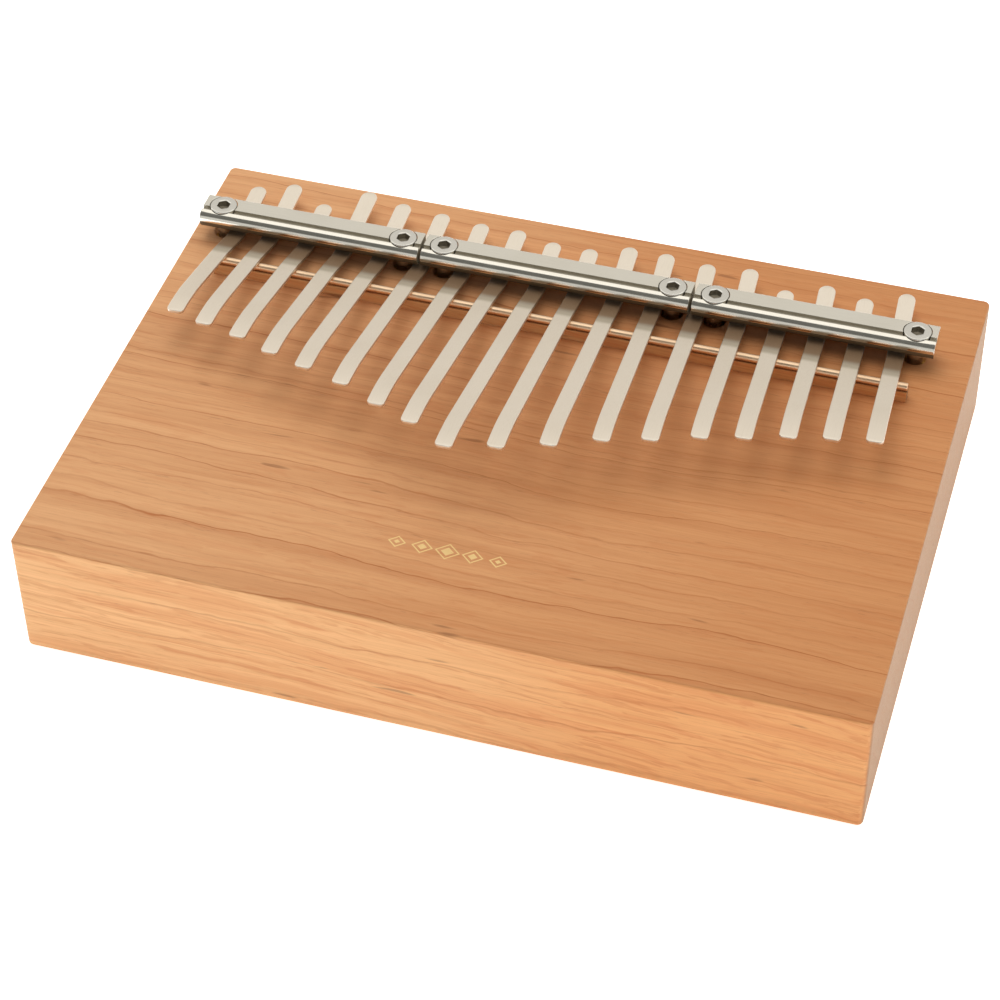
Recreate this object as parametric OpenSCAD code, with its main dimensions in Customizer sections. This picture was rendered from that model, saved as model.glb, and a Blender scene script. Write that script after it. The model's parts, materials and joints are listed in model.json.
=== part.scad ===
// Thumb piano with eighteen steel tines on a solid wooden block.
// The tines run over a bridge rod and under a three-piece pressure bar.
// Frame: millimetres, origin at the centre of the underside, +Z up,
// +X to the player's right, -Y towards the player.

/* [Body] */
// Width of the block, left to right
body_w = 200; // [200:1:220]
// Depth of the block, front to back
body_d = 145; // [142:1:165]
// Thickness of the block
body_h = 34; // [24:1:40]
// Radius of the four upright corners
corner_r = 1.5; // [1:0.5:5]
// Radius of the eased top and bottom edges
edge_r = 0.6; // [0.4:0.2:1.6]

/* [Layout] */
// Centre of the row of tines, measured from the block's centre
row_x = -3; // [-3:0.5:3]
// Distance of the bridge rod behind the block's centre
bridge_y = 31.2; // [28:0.2:34]
// Distance from the bridge rod back to the line of clamp screws
clamp_back = 15.7; // [15.3:0.1:16.1]
// Spacing of neighbouring tines
tine_pitch = 9.8; // [9.5:0.1:9.9]
// Spacing of the first two tines
first_gap = 8.7; // [8.6:0.1:9.9]
// Spacing of two tines that have a clamp screw between them
screw_gap = 10.7; // [10.4:0.1:10.9]
// Distance from an outermost tine to its end screw
end_screw_gap = 4.4; // [4.3:0.1:4.6]
// How far the right-hand joint and its two screws stand left of the middle of their tines
joint_shift = 1; // [0:0.1:1]

/* [Tines] */
// Width of a tine
tine_w = 4.2; // [3.6:0.1:4.3]
// Thickness of a tine
tine_t = 1; // [0.8:0.05:1.1]
// Reach of the lowest tine in front of the bridge rod
longest_reach = 64; // [56:0.5:66]
// Rise of the playing side above level, in degrees
rise = 12; // [9:0.5:13]
// Angle by which the last stretch of a tine droops, in degrees
tip_droop = 15; // [8:1:20]
// Radius of that drooping stretch
tip_bend_r = 45; // [30:1:55]
// Toe of the low-numbered tines, in degrees to the right
toe_left = -0.5; // [-1:0.1:1]
// Toe of the high-numbered tines, in degrees to the right
toe_right = 3.2; // [0:0.1:4]
// Clearance that lets a tine rock about the bridge rod
rock_gap = 0.36; // [0.34:0.02:0.5]

/* [Bridge] */
// Diameter of the bridge rod
rod_d = 2; // [1.8:0.1:2.4]
// Height of the rod's crest above the deck
crest_h = 4.9; // [4.7:0.1:5.2]
// How deep the rod lies in the wooden strip
rod_bed = 0.2; // [0.1:0.05:0.4]
// Depth of that strip
strip_d = 2.6; // [2.6:0.2:5]
// How far the bridge reaches beyond the middle of the first tine
bridge_tuck = 1.4; // [1:0.2:1.8]
// How far the bridge reaches beyond the middle of the last tine
bridge_overhang = 5.4; // [4:0.2:6]

/* [Pressure bar] */
// How far the bar reaches beyond the middle of its end screws
bar_overhang = 5; // [4.5:0.5:5.5]
// Depth of the bar, front to back
bar_d = 7.9; // [7.7:0.1:8.5]
// Height of the bar's flat top above the deck
bar_top = 8.3; // [8.2:0.1:9]
// Gap between neighbouring bars
bar_gap = 0.8; // [0.3:0.1:1.2]

/* [Clamp screws] */
// Diameter of the screw's shank
shank_d = 4; // [3.5:0.5:4]
// Diameter of the screw's head
head_d = 6.8; // [6.4:0.1:7.2]
// Height of the screw's head
head_h = 2.8; // [2.4:0.1:3]
// Length of the shank below the head
shank_l = 16; // [14:1:20]
// Width across the flats of the hexagon socket
socket_af = 3; // [2.5:0.5:3]

/* [Hidden] */
$fn = 64;

// Clearance of a fitted piece in its seat, and of a tine on what it rests on
slip = 0.02;
rest_gap = 0.05;
// How far a cut runs past the surface it opens
cut = 1;

tine_count = 18;
lowest_tine = 9;
// Between these places in the row, counted in tines, the toe changes evenly
toe_change = [8.5, 12];
// The inner clamp screws stand after these tines
screws_after = [5, 6, 12, 13];
// The bars meet above these tines
joint_tines = [6, 13];
// Steps of the major scale above the octave's first note, in semitones
major_scale = [0, 2, 4, 5, 7, 9, 11];
// Length of each tine behind the bridge rod, set by ear when it is tuned
rear_reach = [30, 33, 28, 35, 33, 32, 31, 31, 29, 29, 32, 32, 31, 32, 27, 31, 29, 33];

clamp_y = bridge_y + clamp_back;
rod_r = rod_d / 2;
rod_z = crest_h - rod_r;
strip_h = crest_h - rod_d + rod_bed;
strip_front_lip = 0.2;
bridge_l = run_to(tine_count) + bridge_tuck + bridge_overhang;
bridge_x = row_x + (bridge_overhang - bridge_tuck) / 2;
bar_l = run_to(tine_count) + 2 * (end_screw_gap + bar_overhang);

// Shape of the clamped stretch behind the bridge rod
crest_bend_r = 25;
crest_dip = 3.5;
slope_l = 8;
clamp_bend_r = 16;
rear_rise = 6;
tip_corner_r = 1.1;

// Underside of the tine where it passes over the rod
crest_start = [
    (rod_r + rest_gap) * sin(rise),
    rod_z + (rod_r + rest_gap) * cos(rise)
];

// Pressure bar profile, heights measured from the deck
land_d = 4.35;
groove_r = 0.7;
groove_depth = 1;
nose_low = lowest_underside() + tine_t + rock_gap;
nose_r = (bar_top - nose_low) / 2;
bar_front_y = clamp_y - 4.8;
bar_rear_y = bar_front_y + bar_d;
bar_tail_h = 4.1;
head_sink = head_h - 0.1;
head_room = 0.15;
shank_room = 0.25;

// Hidden rear support under the bar
saddle_l = bar_l - 12;
saddle_front_y = clamp_y + 1.5;

// Threaded inserts in the block
insert_d = 6;
insert_l = 9;
insert_sink = 2;
insert_rings = 3;
ring_r = 0.35;
pilot_l = 12;

// --- Layout ---------------------------------------------------------------

// Distance from tine i to tine i + 1
function step_after(i) = i == 1 ? first_gap
    : len(search(i, screws_after)) > 0 ? screw_gap
    : tine_pitch;

// Sum of the steps between tine 1 and tine i
function run_to(i) = i <= 1 ? 0 : run_to(i - 1) + step_after(i - 1);

function tine_x(i) = row_x - run_to(tine_count) / 2 + run_to(i);

// Shift to the left of what stands near tine i
function shift_at(i) = i > lowest_tine ? joint_shift : 0;

function joint_x(n) = tine_x(joint_tines[n]) - shift_at(joint_tines[n]);

function screw_xs() = concat(
    [tine_x(1) - end_screw_gap],
    [for (i = screws_after) (tine_x(i) + tine_x(i + 1)) / 2 - shift_at(i)],
    [tine_x(tine_count) + end_screw_gap]
);

// Place in the scale: the lowest note is near the middle, the rest alternate right and left
function note_of(i) = i <= lowest_tine ? 2 * (lowest_tine - i) : 2 * (i - lowest_tine) - 1;

function semitones(n) = 12 * floor(n / 7) + major_scale[n % 7];

// A cantilever's pitch goes with the inverse square of its length
function reach(i) = longest_reach * pow(2, -semitones(note_of(i)) / 24);

function toe(i) = let (
    share = (i - toe_change[0]) / (toe_change[1] - toe_change[0])
) toe_left + (toe_right - toe_left) * max(0, min(1, share));

// --- Side view of a tine --------------------------------------------------

function tail(v) = [for (i = [1 : 1 : len(v) - 1]) v[i]];

function flip(v) = [for (i = [len(v) - 1 : -1 : 0]) v[i]];

// A stretch that is walked in n equal steps: [length, turn] each
function stretch(length, turn, n) = [for (i = [1 : n]) [length / n, turn / n]];

function arc_length(r, turn) = r * abs(turn) * PI / 180;

// Points [distance, height, heading] passed on the way along a list of stretches
function walk(p, heading, steps) = len(steps) == 0 ? [] : let (
    mid = heading + steps[0][1] / 2,
    next = p + steps[0][0] * [cos(mid), sin(mid)],
    turned = heading + steps[0][1]
) concat([[next[0], next[1], turned]], walk(next, turned, tail(steps)));

// Steps from the crest down to the clamp and up to the level of the rear stub
function clamp_steps() = concat(
    stretch(arc_length(crest_bend_r, crest_dip), -crest_dip, 2),
    [[slope_l, 0]],
    stretch(arc_length(clamp_bend_r, rise + crest_dip + rear_rise),
        rise + crest_dip + rear_rise, 8)
);

// Underside behind the rod, as distances behind it
function rear_walk() = walk(crest_start, -rise, clamp_steps());

function lowest_underside() = min([for (p = rear_walk()) p[1]]);

function rear_line(length) = let (
    bent = rear_walk(),
    last = bent[len(bent) - 1],
    rest = (length - last[0]) / cos(rear_rise)
) concat(bent, walk([last[0], last[1]], rear_rise, [[rest, 0]]));

// Underside in front of the rod, as distances before it
function front_line(length) = let (
    level = rise - tip_droop,
    bend_reach = tip_bend_r * (sin(rise) - sin(level)),
    straight = (length + crest_start[0] - bend_reach) / cos(rise)
) walk([-crest_start[0], crest_start[1]], rise, concat(
    [[straight, 0]],
    stretch(arc_length(tip_bend_r, tip_droop), -tip_droop, 8)
));

// Whole underside from tip to tail as [y, z, rise angle], y measured from the rod
function underside(i) = concat(
    flip([for (p = front_line(reach(i))) [-p[0], p[1], p[2]]]),
    [[crest_start[0], crest_start[1], rise]],
    [for (p = rear_line(rear_reach[i - 1])) [p[0], p[1], -p[2]]]
);

module tine_side(i) {
    under = underside(i);
    top = [for (p = under) [p[0] + tine_t * sin(p[2]), p[1] + tine_t * cos(p[2])]];
    polygon(concat([for (p = under) [p[0], p[1]]], flip(top)));
}

// Round at the tail, square with small round corners at the tip
module tine_plan(i) {
    half = tine_w / 2;
    tail_y = rear_reach[i - 1] - half;
    tip_y = -reach(i);
    translate([0, tail_y]) circle(half);
    translate([-half, tip_y + tip_corner_r]) square([tine_w, tail_y - tip_y - tip_corner_r]);
    translate([-half + tip_corner_r, tip_y]) square([tine_w - 2 * tip_corner_r, 2 * tip_corner_r]);
    for (s = [-1, 1]) {
        translate([s * (half - tip_corner_r), tip_y + tip_corner_r]) circle(tip_corner_r);
    }
}

// --- Sub-parts --------------------------------------------------------------

module rounded_rect(w, d, r) {
    square([w - 2 * r, d], center = true);
    square([w, d - 2 * r], center = true);
    for (x = [-1, 1], y = [-1, 1]) {
        translate([x * (w / 2 - r), y * (d / 2 - r)]) circle(r);
    }
}

// Stands a [y, z] profile up and draws it out along X
module along_x(length) {
    rotate([90, 0, 90]) linear_extrude(length, center = true) children();
}

module body_block() {
    color("burlywood") difference() {
        intersection() {
            linear_extrude(body_h) rounded_rect(body_w, body_d, corner_r);
            along_x(body_w + cut) translate([0, body_h / 2]) rounded_rect(body_d, body_h, edge_r);
            rotate([90, 0, 0]) linear_extrude(body_d + cut, center = true)
                translate([0, body_h / 2]) rounded_rect(body_w, body_h, edge_r);
        }
        for (x = screw_xs()) {
            translate([x, clamp_y, body_h - pilot_l]) cylinder(h = pilot_l + cut, d = insert_d + 2 * slip);
        }
    }
}

module bridge_strip() {
    front = -rod_r - strip_front_lip;
    color("peru") translate([bridge_x, bridge_y, body_h]) difference() {
        along_x(bridge_l) translate([front, 0]) square([strip_d, strip_h]);
        translate([0, 0, rod_z]) rotate([0, 90, 0])
            cylinder(h = bridge_l + cut, r = rod_r + slip, center = true);
    }
}

module bridge_rod() {
    color("peachpuff") translate([bridge_x, bridge_y, body_h + rod_z]) rotate([0, 90, 0])
        cylinder(h = bridge_l, r = rod_r, center = true);
}

// Low strip that carries the rear of the tines, notched for the screws
module rear_saddle() {
    saddle_d = bar_rear_y - saddle_front_y;
    saddle_h = lowest_underside() - rest_gap;
    color("peru") translate([0, 0, body_h]) difference() {
        translate([row_x, saddle_front_y, 0]) along_x(saddle_l) square([saddle_d, saddle_h]);
        for (x = screw_xs()) {
            translate([x, clamp_y, -cut]) cylinder(h = saddle_h + 2 * cut, d = shank_d + 2 * shank_room);
        }
    }
}

// Half-round nose, round-bottomed groove and flat land; the underside climbs towards the rear
module bar_profile() {
    nose_y = bar_front_y + nose_r;
    groove_y = bar_rear_y - land_d - groove_r;
    groove_z = bar_top - groove_depth + groove_r;
    difference() {
        union() {
            translate([nose_y, bar_top - nose_r]) circle(nose_r);
            polygon([
                [nose_y, nose_low], [bar_rear_y, bar_tail_h],
                [bar_rear_y, bar_top], [nose_y, bar_top]
            ]);
        }
        translate([groove_y, groove_z]) circle(groove_r);
        translate([groove_y - groove_r, groove_z]) square([2 * groove_r, groove_depth + cut]);
    }
}

// One bar between x0 and x1, counterbored for the screws that fall within it
module bar(x0, x1) {
    color("silver") translate([0, 0, body_h]) difference() {
        translate([(x0 + x1) / 2, 0, 0]) along_x(x1 - x0) bar_profile();
        for (x = [for (s = screw_xs()) if (s > x0 && s < x1) s]) {
            translate([x, clamp_y, 0]) cylinder(h = bar_top + cut, d = shank_d + 2 * shank_room);
            translate([x, clamp_y, bar_top - head_sink])
                cylinder(h = head_sink + cut, d = head_d + 2 * head_room);
        }
    }
}

module bar_left() {
    bar(row_x - bar_l / 2, joint_x(0) - bar_gap / 2);
}

module bar_middle() {
    bar(joint_x(0) + bar_gap / 2, joint_x(1) - bar_gap / 2);
}

module bar_right() {
    bar(joint_x(1) + bar_gap / 2, row_x + bar_l / 2);
}

// Cap screw with a plain shank in place of the thread, seat at z = 0
module cap_screw() {
    chamfer = 0.4;
    socket_depth = head_h * 0.6;
    difference() {
        union() {
            cylinder(h = head_h - chamfer, d = head_d);
            translate([0, 0, head_h - chamfer])
                cylinder(h = chamfer, d1 = head_d, d2 = head_d - 2 * chamfer);
            translate([0, 0, -shank_l + chamfer]) cylinder(h = shank_l - chamfer, d = shank_d);
            translate([0, 0, -shank_l]) cylinder(h = chamfer, d1 = shank_d - 2 * chamfer, d2 = shank_d);
        }
        translate([0, 0, head_h - socket_depth])
            cylinder(h = socket_depth + cut, d = socket_af / cos(30), $fn = 6);
    }
}

module clamp_screws() {
    color("gainsboro") for (x = screw_xs()) {
        translate([x, clamp_y, body_h + bar_top - head_sink]) cap_screw();
    }
}

// Brass sleeve with holding rings, top end at z = 0
module insert() {
    ring_step = insert_l / (insert_rings + 1);
    difference() {
        translate([0, 0, -insert_l]) cylinder(h = insert_l, d = insert_d);
        translate([0, 0, -insert_l - cut]) cylinder(h = insert_l + 2 * cut, d = shank_d + 2 * slip);
        for (i = [1 : insert_rings]) {
            translate([0, 0, -i * ring_step]) rotate_extrude()
                translate([insert_d / 2, 0]) circle(ring_r, $fn = 24);
        }
    }
}

module threaded_inserts() {
    color("gold") for (x = screw_xs()) {
        translate([x, clamp_y, body_h - insert_sink]) insert();
    }
}

// The tine is turned to its toe about the clamp line
module tine(i) {
    tall = 60;
    color("lightgray") translate([tine_x(i), clamp_y, body_h]) rotate(toe(i))
        translate([0, -clamp_back, 0]) intersection() {
            along_x(tine_w + cut) tine_side(i);
            linear_extrude(tall) tine_plan(i);
        }
}

// --- Assembly ---------------------------------------------------------------

body_block();
bridge_strip();
bridge_rod();
rear_saddle();
bar_left();
bar_middle();
bar_right();
clamp_screws();
threaded_inserts();
tine(1);  // tine_01
tine(2);  // tine_02
tine(3);  // tine_03
tine(4);  // tine_04
tine(5);  // tine_05
tine(6);  // tine_06
tine(7);  // tine_07
tine(8);  // tine_08
tine(9);  // tine_09
tine(10);  // tine_10
tine(11);  // tine_11
tine(12);  // tine_12
tine(13);  // tine_13
tine(14);  // tine_14
tine(15);  // tine_15
tine(16);  // tine_16
tine(17);  // tine_17
tine(18);  // tine_18
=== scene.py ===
import json
import math

import bmesh
import bpy
import numpy as np
from mathutils import Matrix, Vector


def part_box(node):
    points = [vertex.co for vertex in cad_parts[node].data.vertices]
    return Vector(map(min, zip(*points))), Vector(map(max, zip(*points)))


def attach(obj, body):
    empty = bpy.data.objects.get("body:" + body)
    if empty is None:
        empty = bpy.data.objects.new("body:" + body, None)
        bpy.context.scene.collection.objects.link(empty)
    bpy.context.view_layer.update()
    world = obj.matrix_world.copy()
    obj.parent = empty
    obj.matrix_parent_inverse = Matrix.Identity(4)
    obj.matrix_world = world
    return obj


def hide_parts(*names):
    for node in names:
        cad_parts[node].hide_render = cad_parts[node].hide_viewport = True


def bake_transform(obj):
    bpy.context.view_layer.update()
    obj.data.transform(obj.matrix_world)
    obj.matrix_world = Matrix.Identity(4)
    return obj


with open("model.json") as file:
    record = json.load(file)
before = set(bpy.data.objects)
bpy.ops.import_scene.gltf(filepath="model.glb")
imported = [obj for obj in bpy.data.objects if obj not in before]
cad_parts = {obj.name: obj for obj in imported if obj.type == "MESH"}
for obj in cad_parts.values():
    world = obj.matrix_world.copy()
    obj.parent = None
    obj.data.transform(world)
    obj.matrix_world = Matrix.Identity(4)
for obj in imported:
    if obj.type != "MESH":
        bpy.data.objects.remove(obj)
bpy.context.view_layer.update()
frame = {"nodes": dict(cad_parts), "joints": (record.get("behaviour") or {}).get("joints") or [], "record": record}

# Looks for the thumb piano. Lengths are in millimetres up to the studio, which is in metres,
# and angles are in degrees. Meshes are scaled to metres as they are made.
MM = 0.001
TINES = sorted(name for name in frame["nodes"] if name.startswith("tine_"))
BARS = ["bar_left", "bar_middle", "bar_right"]
JOINT_OF = {joint["child"]: joint for joint in frame["joints"]}


def box_mm(node):
    """Lowest and highest corner of a CAD node in millimetres."""
    low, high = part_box(node)
    return low / MM, high / MM


DECK = box_mm("body_block")[1].z
ROD_Y = sum(corner.y for corner in box_mm("bridge_rod")) / 2
BAR_REAR_Y = box_mm("bar_middle")[1].y


# --- Shader helpers ---------------------------------------------------------

class Graph:
    """Short-hand for building a node tree."""

    def __init__(self, owner):
        owner.use_nodes = True
        self.tree = owner.node_tree
        self.tree.nodes.clear()

    def add(self, kind, **settings):
        node = self.tree.nodes.new(kind)
        for key, value in settings.items():
            setattr(node, key, value)
        return node

    def feed(self, socket, value):
        if isinstance(value, bpy.types.NodeSocket):
            self.tree.links.new(value, socket)
        elif value is not None:
            socket.default_value = value

    def math(self, operation, a, b=None):
        node = self.add("ShaderNodeMath", operation=operation)
        for socket, value in zip(node.inputs, (a, b)):
            self.feed(socket, value)
        return node.outputs[0]

    def vector(self, operation, a, b=None):
        node = self.add("ShaderNodeVectorMath", operation=operation)
        self.feed(node.inputs[0], a)
        self.feed(node.inputs["Scale"] if operation == "SCALE" else node.inputs[1], b)
        return node.outputs["Value" if operation == "LENGTH" else "Vector"]

    def split(self, vector):
        node = self.add("ShaderNodeSeparateXYZ")
        self.feed(node.inputs[0], vector)
        return node.outputs

    def join(self, x, y, z):
        node = self.add("ShaderNodeCombineXYZ")
        for socket, value in zip(node.inputs, (x, y, z)):
            self.feed(socket, value)
        return node.outputs[0]


class Shader(Graph):
    """One material's node tree, with places given in millimetres."""

    def __init__(self, name):
        self.material = bpy.data.materials.new(name)
        super().__init__(self.material)
        self.surface = self.add("ShaderNodeBsdfPrincipled")
        output = self.add("ShaderNodeOutputMaterial")
        self.tree.links.new(self.surface.outputs[0], output.inputs["Surface"])
        coords = self.add("ShaderNodeTexCoord")
        self.place = self.vector("SCALE", coords.outputs["Object"], 1 / MM)
        self.normal = self.add("ShaderNodeNewGeometry").outputs["Normal"]

    def noise(self, stretch, detail=3.0, offset=(0, 0, 0), source=None, rough=0.5, color=False):
        """Noise whose features measure about 1 / stretch millimetres along each axis."""
        moved = self.vector("ADD", self.place if source is None else source, offset)
        node = self.add("ShaderNodeTexNoise")
        self.feed(node.inputs["Vector"], self.vector("MULTIPLY", moved, stretch))
        self.feed(node.inputs["Scale"], 1.0)
        self.feed(node.inputs["Detail"], detail)
        self.feed(node.inputs["Roughness"], rough)
        return node.outputs["Color" if color else "Fac"]

    def ramp(self, value, low, high, to_low=0.0, to_high=1.0):
        """Maps low..high smoothly onto to_low..to_high and holds the ends."""
        node = self.add("ShaderNodeMapRange", clamp=True, interpolation_type="SMOOTHSTEP")
        for socket, entry in zip(node.inputs, (value, low, high, to_low, to_high)):
            self.feed(socket, entry)
        return node.outputs[0]

    def mix(self, share, a, b):
        """Colour a with the given share of colour b."""
        node = self.add("ShaderNodeMix", data_type="RGBA", clamp_factor=True)
        self.feed(node.inputs["Factor"], share)
        self.feed(node.inputs[6], a)
        self.feed(node.inputs[7], b)
        return node.outputs[2]

    def bump(self, height, strength, distance_mm):
        node = self.add("ShaderNodeBump")
        self.feed(node.inputs["Height"], height)
        self.feed(node.inputs["Strength"], strength)
        self.feed(node.inputs["Distance"], distance_mm * MM)
        return node.outputs[0]

    def finish(self, **values):
        """Feeds the surface's inputs, named with underscores, and returns the material."""
        for key, value in values.items():
            name = "IOR" if key == "ior" else key.replace("_", " ").title()
            self.feed(self.surface.inputs[name], value)
        return self.material


def rgb(red, green, blue):
    """A colour given in display values of 0 to 255, as linear light."""
    def linear(v):
        v /= 255
        return v / 12.92 if v <= 0.04045 else ((v + 0.055) / 1.055) ** 2.4
    return (linear(red), linear(green), linear(blue), 1.0)


# --- Materials --------------------------------------------------------------

def wavering(s):
    """The place moved by slow sways, ripples and fine quivers, in millimetres."""
    def wave(stretch, detail, offset, width):
        colour = s.noise(stretch, detail=detail, offset=offset, color=True)
        return s.vector("SCALE", s.vector("SUBTRACT", colour, (0.5, 0.5, 0.5)), width)

    sway = wave((0.006, 0.012, 0.012), 1.0, (0, 0, 0), 14.0)
    ripple = wave((0.028, 0.09, 0.09), 2.0, (31, 7, 5), 3.4)
    quiver = wave((0.10, 0.22, 0.22), 2.0, (8, 71, 44), 1.5)
    return s.vector("ADD", s.vector("ADD", s.place, sway), s.vector("ADD", ripple, quiver))


def growth_rings(s, across, moved, ring_step, pith):
    """Share of the thin latewood line, and of the slow darkening before it, at each place."""
    lean = 0.012
    bent = s.split(moved)
    leaned = s.math("ADD", bent["Y"], s.math("MULTIPLY", across["X"], lean))
    radius = s.vector("LENGTH", s.join(0.0, s.math("SUBTRACT", leaned, pith[0]),
                                       s.math("SUBTRACT", bent["Z"], pith[1])))
    uneven = s.noise((0, 0, 0.16), detail=2.0, source=s.join(0.0, 0.0, radius))
    years = s.math("ADD", s.math("DIVIDE", radius, ring_step), s.math("MULTIPLY", uneven, 3.0))
    phase = s.math("FRACT", years)
    # Good years leave a stronger line than poor ones
    year = s.join(0.0, 0.0, s.math("FLOOR", years))
    vigour = s.ramp(s.noise((0, 0, 0.73), detail=0.0, source=year), 0.35, 0.68, 0.15, 1.0)
    patchy = s.noise((0.012, 0.05, 0.05), detail=2.0, offset=(3, 50, 9))
    patchy = s.ramp(patchy, 0.32, 0.62, 0.35, 1.0)
    line = s.math("MULTIPLY", s.ramp(phase, 0.84, 0.94), s.ramp(phase, 1.0, 0.96))
    late = s.math("MULTIPLY", s.math("MULTIPLY", line, vigour), patchy)
    bloom = s.math("MULTIPLY", s.ramp(phase, 0.15, 0.95), vigour)
    return late, bloom


def wood(name, pale, tan, dark, ring_step=3.6, pith=(-170.0, -70.0), ornament=False):
    """Rift-sawn hardwood: growth rings about a pith line that runs along X, low in front."""
    thread_red, streak_red = rgb(190, 104, 52), rgb(206, 116, 62)
    pore_brown, fleck_brown, foil_gold = rgb(118, 70, 40), rgb(112, 64, 36), rgb(238, 204, 142)
    front_lit_left, front_lit_right, end_tone = rgb(255, 201, 142), rgb(250, 184, 120), rgb(159, 130, 99)
    s = Shader(name)
    across = s.split(s.place)
    moved = wavering(s)
    late, bloom = growth_rings(s, across, moved, ring_step, pith)

    def part(factor, value):
        return s.math("MULTIPLY", value, factor)

    # Ground colour: paler on the left as painted light falling off from the left, clouded as the wood's own tone,
    # with a soft coarse figure
    cloud = s.noise((0.008, 0.03, 0.03), detail=2.0, offset=(120, 60, 0))
    drift = s.math("ADD", s.ramp(across["X"], -105.0, 90.0, 0.0, 0.62), part(0.50, cloud))
    coarse = s.noise((0.010, 0.24, 0.24), detail=2.0, offset=(60, 0, 31), rough=0.6)
    colour = s.mix(s.ramp(drift, 0.20, 0.92), pale, tan)
    colour = s.mix(part(0.15, bloom), colour, dark)
    colour = s.mix(s.ramp(coarse, 0.35, 0.75, 0.0, 0.26), colour, dark)
    # Painted light: the front face is painted paler, as if lit from the front, less so and redder towards the
    # right; the ends show duller end grain
    facing = s.split(s.normal)
    end = s.ramp(s.math("ABSOLUTE", facing["X"]), 0.70, 0.95)
    front = s.ramp(part(-1.0, facing["Y"]), 0.55, 0.95)
    tone = s.mix(s.ramp(across["X"], 0.0, 55.0), front_lit_left, front_lit_right)
    colour = s.mix(part(0.60, front), colour, tone)
    colour = s.mix(part(0.78, end), colour, end_tone)
    softened = s.math("ADD", part(0.3, front), part(0.2, end))
    colour = s.mix(s.math("MULTIPLY", late, s.math("SUBTRACT", 0.75, softened)), colour, dark)
    # Fibres and threads of different fineness
    fibre = s.noise((0.035, 2.2, 2.2), detail=4.0, offset=(0, 11, 0), rough=0.65)
    grainy = s.math("ADD", part(0.05, front), 0.15)
    colour = s.mix(s.math("MULTIPLY", s.ramp(fibre, 0.30, 0.72), grainy), colour, dark)
    sunk = s.vector("ADD", moved, s.join(0.0, 0.0, part(0.07, across["X"])))
    thread = s.noise((0.022, 0.95, 0.95), detail=3.0, offset=(14, 33, 2), source=sunk, rough=0.6)
    grainy = s.math("ADD", part(0.16, front), 0.16)
    colour = s.mix(s.math("MULTIPLY", s.ramp(thread, 0.50, 0.64), grainy), colour, thread_red)
    streak = s.noise((0.012, 0.36, 0.36), detail=1.0, offset=(75, 3, 12), source=sunk, rough=0.5)
    streak = s.math("MULTIPLY", s.ramp(streak, 0.50, 0.60), part(0.24, front))
    colour = s.mix(streak, colour, streak_red)
    # Short dark pores and a few dark flecks
    pore = s.noise((0.22, 3.6, 3.6), detail=2.0, offset=(90, 0, 40), rough=0.6)
    pore = s.math("MULTIPLY", s.ramp(pore, 0.60, 0.72), s.ramp(bloom, 0.0, 0.6, 0.45, 1.0))
    fleck = s.noise((0.055, 0.42, 0.42), detail=1.0, offset=(211, 19, 77))
    fleck = s.ramp(fleck, 0.735, 0.80)
    colour = s.mix(part(0.26, pore), colour, pore_brown)
    colour = s.mix(part(0.45, fleck), colour, fleck_brown)
    rough = s.ramp(fibre, 0.2, 0.8, 0.46, 0.60)
    height = s.math("SUBTRACT", part(0.5, fibre), s.math("ADD", pore, part(0.5, fleck)))
    if ornament:
        gold = foil_mask(s, across)
        colour = s.mix(gold, colour, foil_gold)
        rough = s.math("SUBTRACT", rough, part(0.2, gold))
        s.feed(s.surface.inputs["Metallic"], part(0.35, gold))
    relief = s.bump(height, 0.35, 0.06)
    return s.finish(base_color=colour, roughness=rough, normal=relief, ior=1.3)


def foil_mask(s, across):
    """A plain row of five outlined gold lozenges on the deck, larger towards the middle."""
    middle, spacing, half, stroke = (-3.0, -47.8), 6.0, 2.6, 0.42
    x = s.math("SUBTRACT", across["X"], middle[0])
    y = s.math("ABSOLUTE", s.math("SUBTRACT", across["Y"], middle[1]))
    place = s.math("ROUND", s.math("DIVIDE", x, spacing))
    within = s.math("ABSOLUTE", s.math("SUBTRACT", x, s.math("MULTIPLY", place, spacing)))
    reach = s.math("ADD", s.math("MULTIPLY", within, 0.85), y)
    size = s.math("SUBTRACT", half, s.math("MULTIPLY", s.math("ABSOLUTE", place), 0.35))
    inset = s.math("SUBTRACT", size, reach)
    outline = s.math("MULTIPLY", s.ramp(inset, 0.0, 0.1), s.ramp(inset, stroke + 0.1, stroke))
    core = s.ramp(inset, 1.2, 1.3)
    inside = s.math("MAXIMUM", outline, core)
    inside = s.math("MULTIPLY", inside, s.math("LESS_THAN", s.math("ABSOLUTE", place), 2.5))
    worn = s.ramp(s.noise((0.9, 2.0, 2.0), detail=3.0, offset=(5, 5, 5)), 0.30, 0.42, 0.45, 1.0)
    return s.math("MULTIPLY", inside, worn)


def metal(name, colour, rough, streak, streak_depth=0.10, tint=None, metallic=1.0, shaded_under_clamp=False):
    """Metal with fine streaks; streak gives the features per millimetre along each axis."""
    s = Shader(name)
    lines = s.noise(streak, detail=4.0, rough=0.7)
    cloud = s.noise((0.06, 0.06, 0.06), detail=3.0, offset=(17, 3, 29))
    smear = s.noise((0.35, 0.35, 0.35), detail=3.0, offset=(2, 40, 8), rough=0.6)
    darker = tuple(0.72 * v for v in colour[:3]) + (1.0,)
    base = s.mix(s.ramp(cloud, 0.40, 0.75, 0.0, 0.25), colour, tint or darker)
    base = s.mix(s.ramp(lines, 0.45, 0.80, 0.0, 0.16), base, darker)
    # Painted shade and reflection: tines darkened between the bridge rod and the bar
    if shaded_under_clamp:
        base, metallic = paint_shade_under_clamp(s, base)
    uneven = s.math("ADD", s.ramp(lines, 0.25, 0.75, -streak_depth, streak_depth),
                    s.ramp(smear, 0.3, 0.75, -0.03, 0.05))
    return s.finish(base_color=base, metallic=metallic, roughness=s.math("ADD", uneven, rough),
                    normal=s.bump(lines, 0.12, 0.01))


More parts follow.
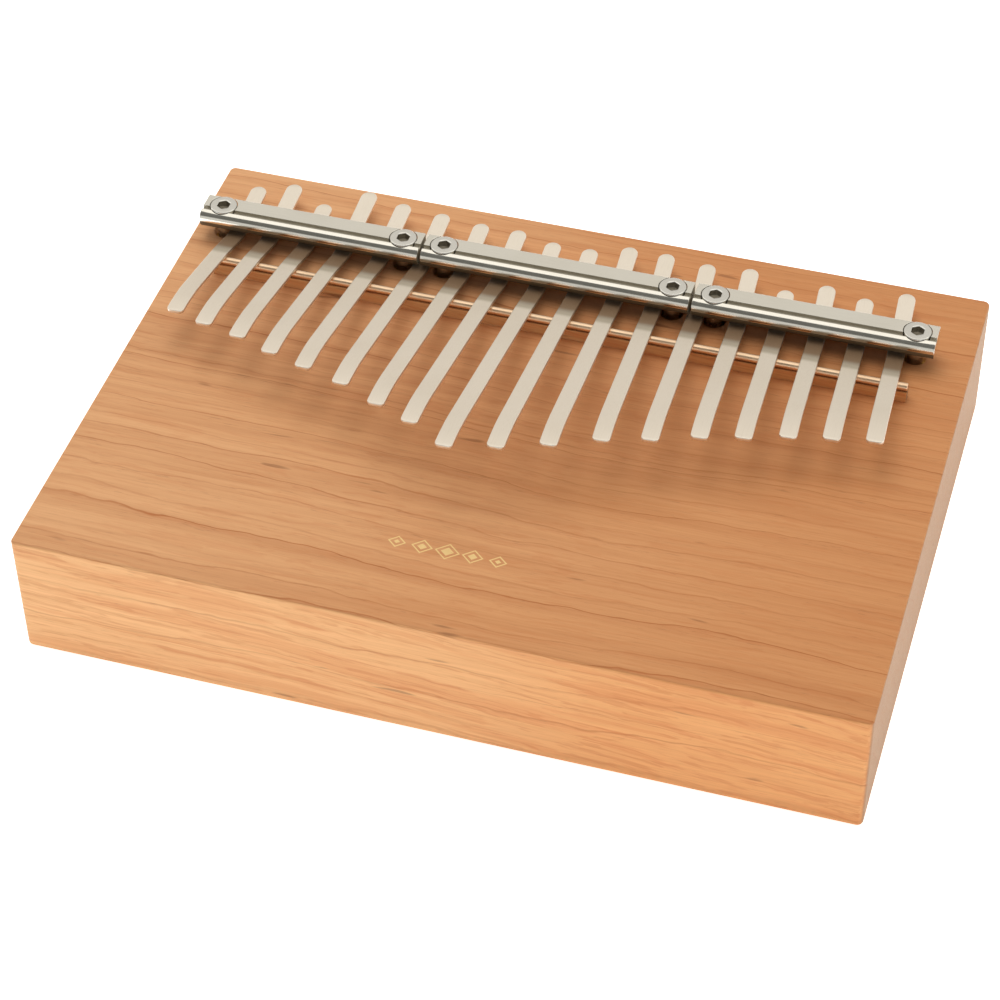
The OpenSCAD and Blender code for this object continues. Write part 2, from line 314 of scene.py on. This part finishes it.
def paint_shade_under_clamp(s, base):
    """Painted shade and reflection: the stretch from the bridge rod to the bar's rear edge is greyed, then browned
    and made less metallic, standing in for the bar's shadow and its dark reflection.
    """
    y = s.split(s.place)["Y"]
    covered = s.ramp(y, BAR_REAR_Y - 2.0, BAR_REAR_Y - 0.5, 1.0, 0.0)
    grey = s.math("MULTIPLY", s.ramp(y, ROD_Y - 0.2, ROD_Y + 1.6, 0.0, 0.6), covered)
    brown = s.math("MULTIPLY", s.ramp(y, ROD_Y + 2.0, ROD_Y + 5.0, 0.0, 0.9), covered)
    base = s.mix(grey, base, rgb(184, 172, 150))
    base = s.mix(brown, base, rgb(122, 92, 62))
    return base, s.math("SUBTRACT", 1.0, s.math("MULTIPLY", brown, 0.8))


def make_materials():
    return {
        "block_wood": wood("oiled_block_wood", rgb(228, 174, 126), rgb(211, 148, 97),
                           rgb(170, 98, 50), ornament=True),
        "strip_wood": wood("sanded_strip_wood", rgb(186, 134, 88), rgb(170, 116, 70),
                           rgb(128, 80, 42), ring_step=1.4),
        "rod_brass": metal("polished_rod_brass", rgb(246, 214, 180), 0.34, (0.2, 6, 6),
                           tint=rgb(222, 172, 130)),
        "bar_plate": metal("bright_nickel_plate", rgb(232, 228, 218), 0.15, (0.03, 5, 5),
                           streak_depth=0.05, tint=rgb(212, 206, 192)),
        "screw_steel": metal("bright_nickel_screws", rgb(224, 222, 216), 0.20, (1.5, 1.5, 1.5),
                             streak_depth=0.05),
        # Painted shade for the bars' groove, joint faces and underside
        "painted_shade_recess": metal("painted_shade_recess_steel", rgb(176, 168, 150), 0.55, (0.2, 3, 3), metallic=0.35),
        "painted_shade_underside": metal("painted_shade_underside_steel", rgb(104, 88, 64), 0.6, (0.2, 3, 3), metallic=0.2),
        # Painted shade for the inside of the screw sockets
        "painted_shade_socket": metal("painted_shade_socket_steel", rgb(138, 130, 114), 0.42, (2, 2, 2), metallic=0.7),
        "insert_brass": metal("turned_insert_brass", rgb(214, 176, 104), 0.30, (3, 3, 0.4)),
        # The tines carry painted shade and reflection between the bridge rod and the bar
        "tine_steel": metal("satin_spring_steel", rgb(240, 230, 216), 0.42, (5, 0.06, 5),
                            streak_depth=0.07, tint=rgb(226, 214, 196), shaded_under_clamp=True),
    }


MATERIALS = make_materials()


# --- Mesh helpers -----------------------------------------------------------

def rings_to_faces(rings, size):
    """Quads that join each ring to the next."""
    return [(k * size + i, k * size + (i + 1) % size,
             (k + 1) * size + (i + 1) % size, (k + 1) * size + i)
            for k in range(rings - 1) for i in range(size)]


def solid(rings):
    """Vertices and faces of a closed solid that runs through rings of equally many points."""
    size = len(rings[0])
    verts = [point for ring in rings for point in ring]
    faces = rings_to_faces(len(rings), size)
    faces.append(tuple(reversed(range(size))))
    faces.append(tuple(range((len(rings) - 1) * size, len(rings) * size)))
    return verts, faces


def plate(half_outline, thickness, edge_r, place, steps=3):
    """Plate with rounded edges. half_outline(inset) runs down its right half from rear to front,
    and place(x, y, h) puts a point of the plan at height h above the plate's underside."""
    rings = []
    turns = [90 * k / steps for k in range(steps + 1)]
    levels = [(edge_r * (1 - math.sin(math.radians(a))), edge_r * (1 - math.cos(math.radians(a))))
              for a in turns]
    levels += [(inset, thickness - height) for inset, height in reversed(levels)]
    for inset, height in levels:
        right = half_outline(inset)
        ring = right + [(-x, y) for x, y in reversed(right)]
        rings.append([place(x, y, height) for x, y in ring])
    size = len(rings[0])
    verts = [point for ring in rings for point in ring]
    faces = rings_to_faces(len(rings), size)
    top = (len(rings) - 1) * size
    for i in range(size // 2 - 1):
        a, b, c, d = i, i + 1, size - 2 - i, size - 1 - i
        faces.append((d, c, b, a))
        faces.append((top + a, top + b, top + c, top + d))
    return verts, faces


def arc(centre, radius, start, end, steps):
    """Points on an arc; angles count from +X towards +Y."""
    turns = [math.radians(start + (end - start) * k / steps) for k in range(steps + 1)]
    return [(centre[0] + radius * math.cos(a), centre[1] + radius * math.sin(a)) for a in turns]


def make_piece(name, mesh_data, material, body, replaces=()):
    """Mesh object in metres from vertices and faces in millimetres, welded and smooth-shaded."""
    verts, faces = mesh_data
    weld = 0.001 * MM
    bm = bmesh.new()
    points = [bm.verts.new(Vector(v) * MM) for v in verts]
    for face in faces:
        bm.faces.new([points[i] for i in face])
    bmesh.ops.remove_doubles(bm, verts=bm.verts[:], dist=weld)
    bmesh.ops.dissolve_degenerate(bm, edges=bm.edges[:], dist=weld / 10)
    bmesh.ops.recalc_face_normals(bm, faces=bm.faces[:])
    mesh = bpy.data.meshes.new(name)
    bm.to_mesh(mesh)
    bm.free()
    mesh.shade_smooth()
    piece = bpy.data.objects.new(name, mesh)
    bpy.context.scene.collection.objects.link(piece)
    mesh.materials.append(MATERIALS[material])
    if replaces:
        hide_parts(*replaces)
    if body:
        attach(piece, body)
    return piece


def weigh_normals(piece):
    modifier = piece.modifiers.new("weighted_normals", "WEIGHTED_NORMAL")
    modifier.weight = 80
    modifier.keep_sharp = True
    return piece


def bake_modifiers(piece):
    """Replaces a piece's mesh with its evaluated mesh and drops its modifiers."""
    graph = bpy.context.evaluated_depsgraph_get()
    baked = bpy.data.meshes.new_from_object(piece.evaluated_get(graph))
    piece.modifiers.clear()
    old = piece.data
    piece.data = baked
    bpy.data.meshes.remove(old)
    return piece


def drill(piece, holes):
    """Cuts upright round holes, each (x, y, radius, low, high), out of a piece."""
    verts, faces = [], []
    for x, y, radius, low, high in holes:
        ring = arc((x, y), radius, 0, 360, 48)[:-1]
        more, more_faces = solid([[(px, py, z) for px, py in ring] for z in (low, high)])
        faces += [tuple(i + len(verts) for i in face) for face in more_faces]
        verts += more
    tool = make_piece("cutting_tool", (verts, faces), "bar_plate", None)
    cut = piece.modifiers.new("drill", "BOOLEAN")
    cut.operation = "DIFFERENCE"
    cut.solver = "EXACT"
    cut.object = tool
    bake_modifiers(piece)
    bpy.data.objects.remove(tool)
    return piece


def ease_edges(piece, width, angle=28):
    """Rounds a piece's edges by width where its faces meet at more than the angle."""
    bevel = piece.modifiers.new("eased_edges", "BEVEL")
    bevel.width = width * MM
    bevel.segments = 2
    bevel.limit_method = "ANGLE"
    bevel.angle_limit = math.radians(angle)
    bevel.use_clamp_overlap = False
    bevel.miter_outer = "MITER_ARC"
    bake_modifiers(piece)
    piece.data.shade_smooth()
    return weigh_normals(piece)


# --- Block ------------------------------------------------------------------

CLAMP_Y = sum(corner.y for corner in box_mm("clamp_screws")) / 2
HEAD_R, SHANK_R, SHANK_ROOM = 3.4, 2.0, 0.25
PAST = 1.0  # how far a cutting tool reaches beyond the face it cuts
BAR_ENDS = (box_mm(BARS[0])[0].x, box_mm(BARS[-1])[1].x)


def screw_places():
    """X of each clamp screw, from the separate shells of the screws' node."""
    least_gap = 2.0
    xs = sorted(v.co.x / MM for v in frame["nodes"]["clamp_screws"].data.vertices)
    groups = [[xs[0]]]
    for x in xs[1:]:
        if x - groups[-1][-1] > least_gap:
            groups.append([])
        groups[-1].append(x)
    return [(group[0] + group[-1]) / 2 for group in groups]


SCREW_XS = screw_places()


def build_block():
    corner_r, edge_r, pilot_r, pilot_l = 1.5, 0.6, 3.02, 12.0
    low, high = box_mm("body_block")
    half_w, half_d = high.x, high.y

    def half_outline(inset):
        r = corner_r - inset
        rear = arc((half_w - corner_r, half_d - corner_r), r, 90, 0, 12)
        front = arc((half_w - corner_r, corner_r - half_d), r, 0, -90, 12)
        return [(0, half_d - inset)] + rear + front + [(0, inset - half_d)]

    data = plate(half_outline, high.z - low.z, edge_r, lambda x, y, h: (x, y, low.z + h), steps=6)
    block = make_piece("block", data, "block_wood", None, ["body_block"])
    drill(block, [(x, CLAMP_Y, pilot_r, high.z - pilot_l, high.z + PAST) for x in SCREW_XS])
    block.data.shade_smooth()
    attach(weigh_normals(block), "root")


# --- Bridge, saddle and pressure bars -----------------------------------------

def extrude_along_x(profile, x0, x1):
    return solid([[(x, y, z) for y, z in profile] for x in (x0, x1)])


def build_bridge():
    rod_low, rod_high = box_mm("bridge_rod")
    rod_r = (rod_high.z - rod_low.z) / 2
    rod_y, rod_z = (rod_low.y + rod_high.y) / 2, rod_high.z - rod_r
    ease, bed_gap = 0.25, 0.02
    # Places along the rod with its radius there; both ends are eased alike
    stops = [(rod_low.x, rod_r - ease), (rod_low.x + ease * 0.3, rod_r - ease * 0.3),
             (rod_low.x + ease, rod_r)]
    stops += [(rod_low.x + rod_high.x - x, r) for x, r in reversed(stops)]
    rings = [[(x, y, z) for y, z in arc((rod_y, rod_z), r, 0, 360, 32)[:-1]] for x, r in stops]
    weigh_normals(make_piece("rod", solid(rings), "rod_brass", "root", ["bridge_rod"]))

    low, high = box_mm("bridge_strip")
    bed_r = rod_r + bed_gap
    spread = math.degrees(math.acos((rod_z - high.z) / bed_r))
    bed = arc((rod_y, rod_z), bed_r, 270 - spread, 270 + spread, 6)
    profile = [(low.y, low.z), (low.y, high.z)] + bed + [(high.y, high.z), (high.y, low.z)]
    strip = make_piece("strip", extrude_along_x(profile, low.x, high.x), "strip_wood", None,
                       ["bridge_strip"])
    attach(ease_edges(strip, 0.12, angle=40), "root")

    low, high = box_mm("rear_saddle")
    profile = [(low.y, low.z), (low.y, high.z), (high.y, high.z), (high.y, low.z)]
    saddle = make_piece("saddle", extrude_along_x(profile, low.x, high.x), "strip_wood", None,
                        ["rear_saddle"])
    bore_r = SHANK_R + SHANK_ROOM
    drill(saddle, [(x, CLAMP_Y, bore_r, low.z - PAST, high.z + PAST) for x in SCREW_XS])
    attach(ease_edges(saddle, 0.1, angle=40), "root")


LAND_D, GROOVE_R, GROOVE_DEPTH = 4.35, 0.7, 1.0


def bar_profile(low, high):
    """Half-round nose, a groove behind it, a flat land and an underside that climbs rearwards."""
    tail_h = 4.1
    nose_r = (high.z - low.z) / 2
    nose_y, nose_z = low.y + nose_r, low.z + nose_r
    groove_y = high.y - LAND_D - GROOVE_R
    # The groove's front wall stands just inside the nose's round
    wall_z = nose_z + math.sqrt(nose_r ** 2 - max(0.0, nose_y - groove_y + GROOVE_R) ** 2)
    meet = math.degrees(math.atan2(wall_z - nose_z, groove_y - GROOVE_R - nose_y))
    nose = arc((nose_y, nose_z), nose_r, 270, max(90.0, meet), 40)
    if meet <= 90.0:
        nose.append((groove_y - GROOVE_R, high.z))
    groove = arc((groove_y, high.z - GROOVE_DEPTH + GROOVE_R), GROOVE_R, 180, 360, 10)
    land = [(groove_y + GROOVE_R, high.z), (high.y, high.z), (high.y, DECK + tail_h)]
    return nose + groove + land


def paint_shade_in_recesses(bar, high):
    """Painted shade: darker steel on the underside, in the groove and on the faces that meet at a joint, standing
    in for the shade there and the underside's dark reflection.
    """
    for name in ("painted_shade_recess", "painted_shade_underside"):
        bar.data.materials.append(MATERIALS[name])
    recess, bottom = 1, 2
    slack, lip, end_room = 0.02, 0.1, 1.0
    groove_y = high.y - LAND_D - GROOVE_R
    for face in bar.data.polygons:
        x, y, z = face.center / MM
        normal = face.normal
        at_joint = abs(normal.x) > 0.95 and BAR_ENDS[0] + end_room < x < BAR_ENDS[1] - end_room
        in_groove = (abs(y - groove_y) < GROOVE_R + slack
                     and high.z - GROOVE_DEPTH - lip < z < high.z - lip)
        # The outer ends and the rear face stay bright down to their lower edge
        looks_down = normal.z < slack and max(abs(normal.x), normal.y) < 0.5
        if at_joint or in_groove:
            face.material_index = recess
        elif looks_down:
            face.material_index = bottom


def build_bars():
    head_room, sink, overlap, ease = 0.15, 2.7, 0.5, 0.12
    for node in BARS:
        low, high = box_mm(node)
        seat = high.z - sink
        shape = extrude_along_x(bar_profile(low, high), low.x, high.x)
        bar = make_piece(node.replace("bar", "pressure_bar"), shape, "bar_plate", None, [node])
        places = [x for x in SCREW_XS if low.x < x < high.x]
        drill(bar, [(x, CLAMP_Y, SHANK_R + SHANK_ROOM, DECK, seat + overlap) for x in places])
        drill(bar, [(x, CLAMP_Y, HEAD_R + head_room, seat, high.z + PAST) for x in places])
        ease_edges(bar, ease)
        # Painted shade in the groove, on the joint faces and underneath
        paint_shade_in_recesses(bar, high)
        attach(bar, "root")


# --- Clamp screws -----------------------------------------------------------

def screw_mesh(x):
    """Cap screw: shank, rounded head and a hexagon socket with a coned floor."""
    low, high = box_mm("clamp_screws")
    head_h, rounding, point_l, fillet, chamfer = 2.8, 0.3, 0.4, 0.1, 0.15
    mouth_r, socket_flat, socket_depth = 2.15, 3.0, 1.5
    seat = high.z - head_h
    per_side = 6
    size = 6 * per_side
    turns = [2 * math.pi * k / size for k in range(size)]

    def ring(radius_at, z):
        return [(x + radius_at(a) * math.cos(a), CLAMP_Y + radius_at(a) * math.sin(a), z)
                for a in turns]

    def circle(r, z):
        return ring(lambda a: r, z)

    def hexagon(flat, z):
        def radius_at(a):
            folded = (a + math.pi / 6) % (math.pi / 3) - math.pi / 6
            return flat / 2 / math.cos(folded)
        return ring(radius_at, z)

    rings = [circle(0.9 * SHANK_R, low.z), circle(SHANK_R, low.z + point_l),
             circle(SHANK_R, seat - fillet), circle(SHANK_R + fillet, seat),
             circle(HEAD_R - chamfer, seat), circle(HEAD_R, seat + chamfer)]
    for degrees in (0, 22, 45, 68, 90):
        turn = math.radians(degrees)
        rings.append(circle(HEAD_R - rounding * (1 - math.cos(turn)),
                            high.z - rounding * (1 - math.sin(turn))))
    # (across flats, depth) down the socket, then (radius, depth) of its coned floor
    flats = [(socket_flat + 0.12, 0), (socket_flat + 0.04, 0.05), (socket_flat, chamfer),
             (socket_flat, socket_depth)]
    cone = [(1.2, socket_depth + 0.12), (0.05, socket_depth + 0.5)]
    rings.append(circle(mouth_r, high.z))
    rings += [hexagon(flat, high.z - depth) for flat, depth in flats]
    rings += [circle(r, high.z - depth) for r, depth in cone]
    return solid(rings)


def build_screws():
    verts, faces = [], []
    for x in SCREW_XS:
        more, more_faces = screw_mesh(x)
        faces += [tuple(i + len(verts) for i in face) for face in more_faces]
        verts += more
    screws = make_piece("cap_screws", (verts, faces), "screw_steel", "root", ["clamp_screws"])
    # Painted shade: the socket's walls and floor get darker steel
    screws.data.materials.append(MATERIALS["painted_shade_socket"])
    # The socket's walls and floor lie between these depths and within this radius
    upper, lower, reach = 0.15, 2.1, 1.8
    top = box_mm("clamp_screws")[1].z
    for face in screws.data.polygons:
        x, y, z = face.center / MM
        near = min(math.hypot(x - middle, y - CLAMP_Y) for middle in SCREW_XS)
        if upper < top - z < lower and near < reach:
            face.material_index = 1
    weigh_normals(screws)


# --- Tines ------------------------------------------------------------------

TINE_W, TINE_T = 4.2, 1.0
ROD_R, REST_GAP = 1.0, 0.05
RISE, DROOP, TIP_BEND_R, TIP_CORNER_R = 12.0, 15.0, 45.0, 1.1
CREST_BEND_R, CREST_DIP, SLOPE_L = 25.0, 3.5, 8.0
CLAMP_BEND_R, REAR_RISE = 16.0, 6.0


def walk(start, heading, stretches, step=0.6):
    """Points (distance, height, heading) along a line made of (length, turn) stretches."""
    points = [(start[0], start[1], heading)]
    for length, turn in stretches:
        count = max(1, math.ceil(length / step))
        for _ in range(count):
            middle = math.radians(heading + turn / count / 2)
            u, v, _ = points[-1]
            heading += turn / count
            points.append((u + length / count * math.cos(middle),
                           v + length / count * math.sin(middle), heading))
    return points


def arc_length(radius, turn):
    return radius * math.radians(abs(turn))


def underside(tip, tail, rod_z):
    """The underside's (y, z, climb towards the tip) from tip to tail, y counted from the rod."""
    lift = ROD_R + REST_GAP
    rise = math.radians(RISE)
    crest = (lift * math.sin(rise), rod_z + lift * math.cos(rise))
    bend = TIP_BEND_R * (math.sin(rise) - math.sin(math.radians(RISE - DROOP)))
    straight = (-tip + crest[0] - bend) / math.cos(rise)
    front = walk((-crest[0], crest[1]), RISE,
                 [(straight, 0), (arc_length(TIP_BEND_R, DROOP), -DROOP)])
    turn = RISE + CREST_DIP + REAR_RISE
    clamped = [(arc_length(CREST_BEND_R, CREST_DIP), -CREST_DIP), (SLOPE_L, 0),
               (arc_length(CLAMP_BEND_R, turn), turn)]
    clamp_end = walk(crest, -RISE, clamped)[-1][0]
    stub = (tail - clamp_end) / math.cos(math.radians(REAR_RISE))
    rear = walk(crest, -RISE, clamped + [(stub, 0)])
    return [(-u, v, a) for u, v, a in reversed(front)] + [(u, v, -a) for u, v, a in rear[1:]]


def tine_frame(node):
    """Origin on the rod, toe angle and the tine's ends along its own axis, from the CAD mesh."""
    mesh = frame["nodes"][node].data
    side = max((f for f in mesh.polygons if f.normal.x > 0.9), key=lambda f: f.area)
    toe = math.atan2(side.normal.y, side.normal.x)
    joint = JOINT_OF["body_" + node]
    origin = Vector(joint["pos_m"]) / MM
    along = [-(v.co.x / MM - origin.x) * math.sin(toe) + (v.co.y / MM - origin.y) * math.cos(toe)
             for v in mesh.vertices]
    return origin, toe, min(along), max(along)


def build_tine(node):
    origin, toe, tip, tail = tine_frame(node)
    line = underside(tip, tail, origin.z)
    ys, zs, climbs = (np.array(column) for column in zip(*line))
    half, gap = TINE_W / 2, 0.3

    def half_outline(inset):
        stations = [y for y in ys[::-1] if tip + TIP_CORNER_R + gap < y < tail - half - gap]
        rear = arc((0, tail - half), half - inset, 90, 0, 12)
        front = arc((half - TIP_CORNER_R, tip + TIP_CORNER_R), TIP_CORNER_R - inset, 0, -90, 7)
        return rear + [(half - inset, y) for y in stations] + front + [(0, tip + inset)]

    def place(x, y, height):
        climb = math.radians(np.interp(y, ys, climbs))
        v = y + height * math.sin(climb)
        z = np.interp(y, ys, zs) + height * math.cos(climb)
        return (origin.x + x * math.cos(toe) - v * math.sin(toe),
                origin.y + x * math.sin(toe) + v * math.cos(toe), z)

    edge_r = 0.22
    piece = make_piece(node.replace("tine", "blade"), plate(half_outline, TINE_T, edge_r, place),
                       "tine_steel", None, [node])
    weigh_normals(piece)
    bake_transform(piece)


# --- Studio, in metres ------------------------------------------------------

def build_floor():
    size, cells, drop = 3.0, 24, 0.0002
    bm = bmesh.new()
    bmesh.ops.create_grid(bm, x_segments=cells, y_segments=cells, size=size)
    mesh = bpy.data.meshes.new("floor")
    bm.to_mesh(mesh)
    bm.free()
    floor = bpy.data.objects.new("floor", mesh)
    floor.location.z = -drop
    bpy.context.scene.collection.objects.link(floor)
    s = Shader("pale_floor")
    mottle = s.noise((0.01, 0.01, 0.01), detail=2.0)
    pale = s.mix(mottle, rgb(250, 250, 249), rgb(247, 247, 246))
    mesh.materials.append(s.finish(base_color=pale, roughness=0.9, emission_color=(1, 1, 1, 1),
                                   emission_strength=0.8))


def build_world():
    """White seen directly; elsewhere a soft studio that changes from front over top to back."""
    world = bpy.data.worlds.new("studio")
    bpy.context.scene.world = world
    g = Graph(world)
    towards = g.split(g.add("ShaderNodeTexCoord").outputs["Generated"])
    angle = g.math("ARCTAN2", towards["Z"], g.math("MULTIPLY", towards["Y"], -1.0))
    ramp = g.add("ShaderNodeValToRGB")
    g.feed(ramp.inputs["Fac"], g.math("DIVIDE", angle, math.pi))
    # (degrees from the front horizon over the zenith, red, green, blue)
    stops = [(0, 0.70, 0.70, 0.68), (25, 0.74, 0.74, 0.71), (31, 0.15, 0.15, 0.14),
             (70, 0.17, 0.17, 0.16), (78, 1.25, 1.22, 1.16), (116, 1.22, 1.19, 1.12),
             (126, 0.80, 0.77, 0.71), (180, 0.72, 0.69, 0.64)]
    while len(ramp.color_ramp.elements) < len(stops):
        ramp.color_ramp.elements.new(0.5)
    for element, (degrees, *colour) in zip(ramp.color_ramp.elements, stops):
        element.position = degrees / 180
        element.color = (*colour, 1)
    studio = g.add("ShaderNodeBackground")
    g.feed(studio.inputs["Color"], ramp.outputs["Color"])
    seen = g.add("ShaderNodeBackground")
    g.feed(seen.inputs["Color"], (1, 1, 1, 1))
    mix = g.add("ShaderNodeMixShader")
    g.feed(mix.inputs["Fac"], g.add("ShaderNodeLightPath").outputs["Is Camera Ray"])
    g.feed(mix.inputs[1], studio.outputs[0])
    g.feed(mix.inputs[2], seen.outputs[0])
    g.feed(g.add("ShaderNodeOutputWorld").inputs["Surface"], mix.outputs[0])


def build_light():
    """One soft light behind and above the block; metal reflects the world alone."""
    size, power = 0.7, 3.2
    place, aim = Vector((-0.22, 0.38, 1.0)), Vector((0, 0, 0.02))
    data = bpy.data.lights.new("key", "AREA")
    data.shape = "RECTANGLE"
    data.size = size
    data.size_y = size
    data.energy = power
    light = bpy.data.objects.new("key", data)
    light.location = place
    light.rotation_euler = (place - aim).to_track_quat("Z", "Y").to_euler()
    light.visible_glossy = False
    bpy.context.scene.collection.objects.link(light)


def build_camera():
    place = Vector((0.1468922, -0.4860439, 0.4996379))
    forward = Vector((-0.21432, 0.68464, -0.69666)).normalized()
    right = Vector((0.95771, 0.28749, -0.0121))
    right = (right - right.dot(forward) * forward).normalized()
    up = right.cross(forward)
    data = bpy.data.cameras.new("camera")
    data.sensor_width = 36.0
    data.lens = 104.383
    camera = bpy.data.objects.new("camera", data)
    turn = Matrix((right, up, -forward)).transposed()
    camera.matrix_world = Matrix.Translation(place) @ turn.to_4x4()
    bpy.context.scene.collection.objects.link(camera)
    bpy.context.scene.camera = camera


def paint_cad_nodes():
    """Every CAD node gets the material of its slot; those without a new mesh show it."""
    for part in frame["record"]["subparts"]:
        mesh = frame["nodes"][part["node"]].data
        mesh.materials.clear()
        mesh.materials.append(MATERIALS[part["material_slot"]])


paint_cad_nodes()
build_block()
build_bridge()
build_bars()
build_screws()
for tine in TINES:
    build_tine(tine)
build_floor()
build_world()
build_light()
build_camera()
bpy.context.scene.view_settings.view_transform = "Standard"
